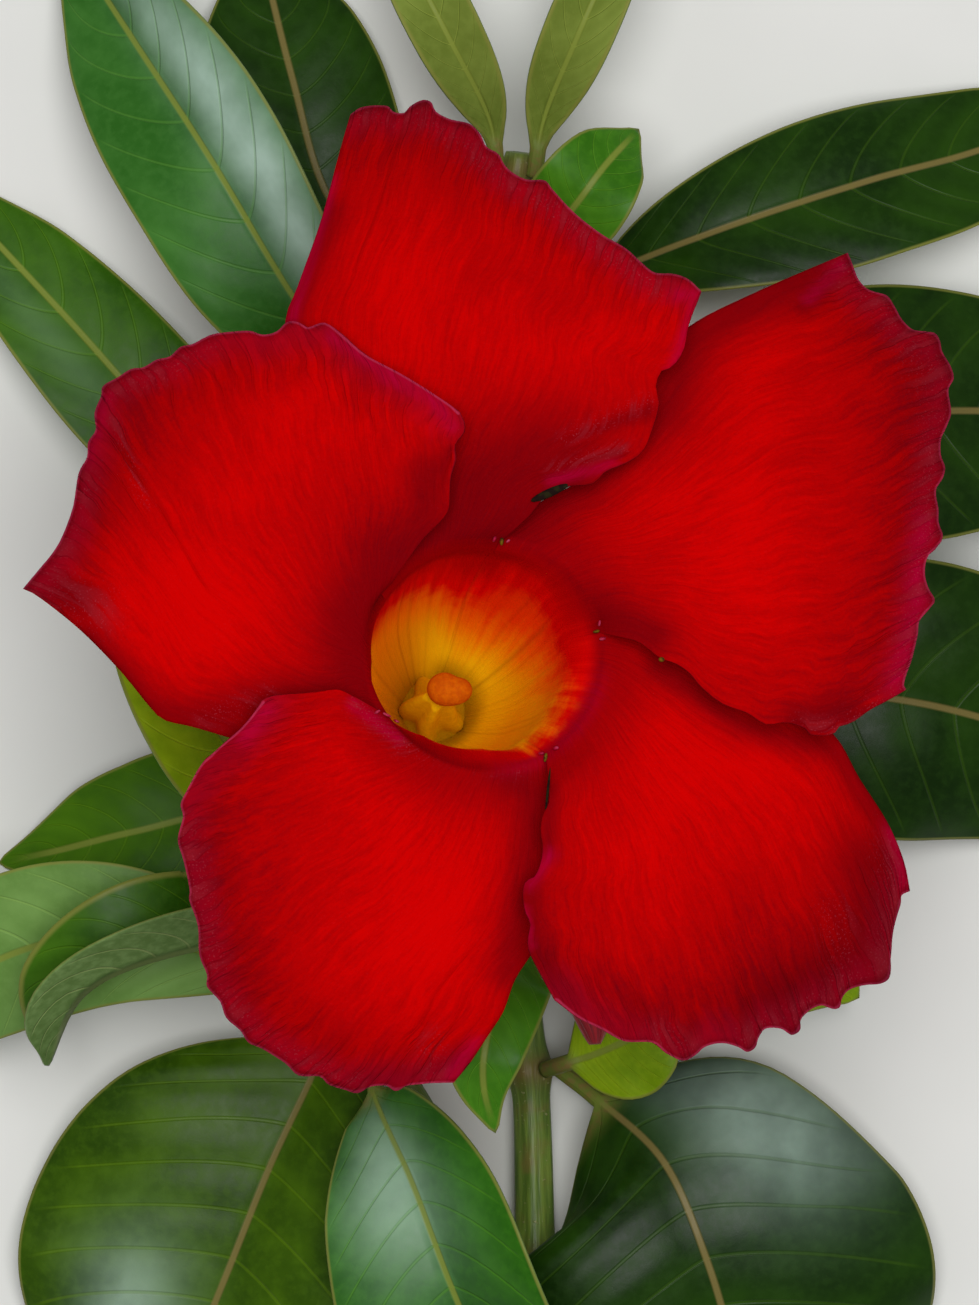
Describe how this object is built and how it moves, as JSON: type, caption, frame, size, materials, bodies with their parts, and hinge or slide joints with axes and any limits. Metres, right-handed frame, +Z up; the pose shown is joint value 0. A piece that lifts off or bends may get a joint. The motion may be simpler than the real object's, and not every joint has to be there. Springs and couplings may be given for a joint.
{
  "type": "mandevilla sprig",
  "caption": "Cut sprig of a climbing vine lying flat: one open five-lobed red trumpet flower facing up over a twining stem, a bud and glossy leaves.",
  "frame": {"origin": "bottom centre of the bounding box, on the surface that the sprig lies on", "axes": "+Y along the main stem towards its growing tip, +Z up out of the surface, the way the flower faces, +X to the right seen from above"},
  "size_m": [0.1412, 0.1762, 0.068],
  "materials": {
    "petal": "velvety matt, saturated red with crimson margins",
    "throat_yellow": "matt yellow",
    "anther_orange": "matt orange",
    "calyx_green": "satin pale green",
    "stem_green": "satin green",
    "bud_red": "satin crimson",
    "leaf_green": "glossy deep green, veined",
    "leaf_young": "satin yellow-green"
  },
  "bodies": {
    "root": {"corolla": "petal", "anther_cone": "throat_yellow", "anther_head": "anther_orange", "calyx": "calyx_green", "flower_stalk": "stem_green", "main_stem": "stem_green", "side_shoot": "stem_green", "bud": "bud_red", "bud_stalk": "stem_green", "leaf_upper_left": "leaf_green", "leaf_high_left": "leaf_green", "leaf_high_right": "leaf_green", "leaf_right": "leaf_green", "leaf_left": "leaf_green", "leaf_mid_right": "leaf_green", "leaf_dull_left": "leaf_green", "leaf_low_right": "leaf_green", "leaf_lower_right": "leaf_green", "leaf_lower_left": "leaf_green", "leaf_bottom": "leaf_green", "leaf_folded": "leaf_green", "leaf_pale_left": "leaf_green", "leaf_young_left": "leaf_young", "leaf_pointed": "leaf_young", "leaf_axil": "leaf_young", "leaf_small_top": "leaf_young", "leaf_tip_left": "leaf_young", "leaf_tip_right": "leaf_young"}
  },
  "joints": []
}
